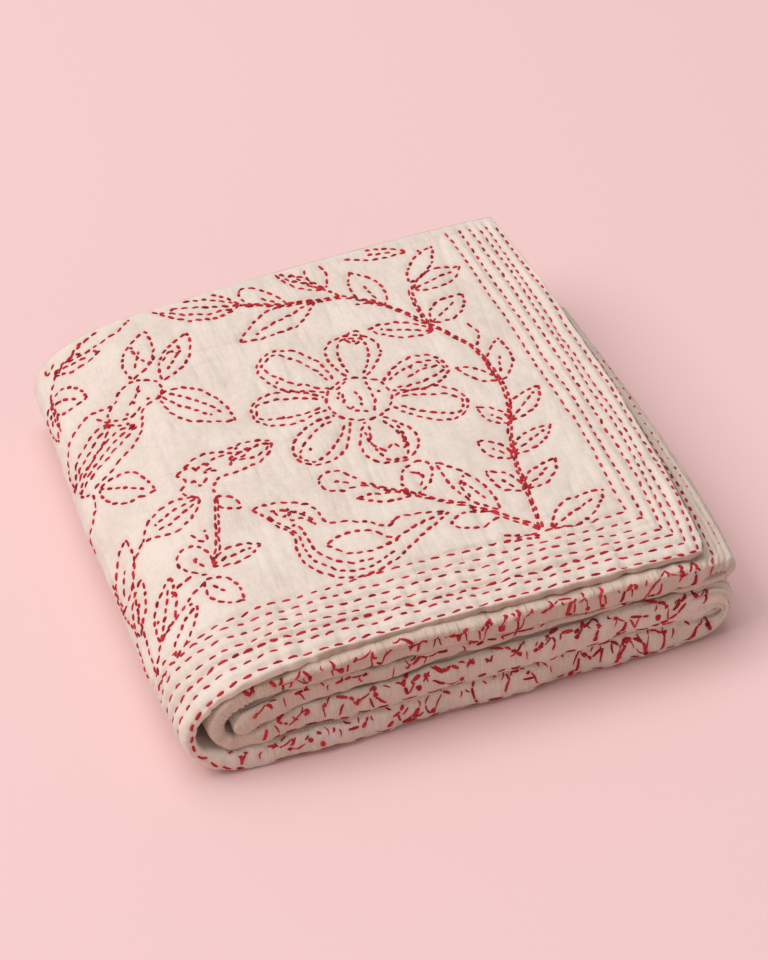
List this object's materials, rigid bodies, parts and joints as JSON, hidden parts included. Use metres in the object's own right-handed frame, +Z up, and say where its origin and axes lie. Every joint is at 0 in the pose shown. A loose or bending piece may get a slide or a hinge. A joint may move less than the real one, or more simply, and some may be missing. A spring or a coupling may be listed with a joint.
{
  "type": "kantha quilt",
  "caption": "Hand-stitched cotton quilt folded into a low flat stack, with a round outer fold at the left and a ruled stitched border on the top layer.",
  "frame": {"origin": "middle of the stack's outline, on the surface that it lies on", "axes": "+Z up through the layers, +X across the folded width towards the hemmed side, +Y towards the back"},
  "size_m": [0.3954, 0.3856, 0.0886],
  "materials": {
    "quilted_cotton": "soft matt cotton, hand quilted"
  },
  "bodies": {
    "root": {"quilt": "quilted_cotton"}
  },
  "joints": []
}
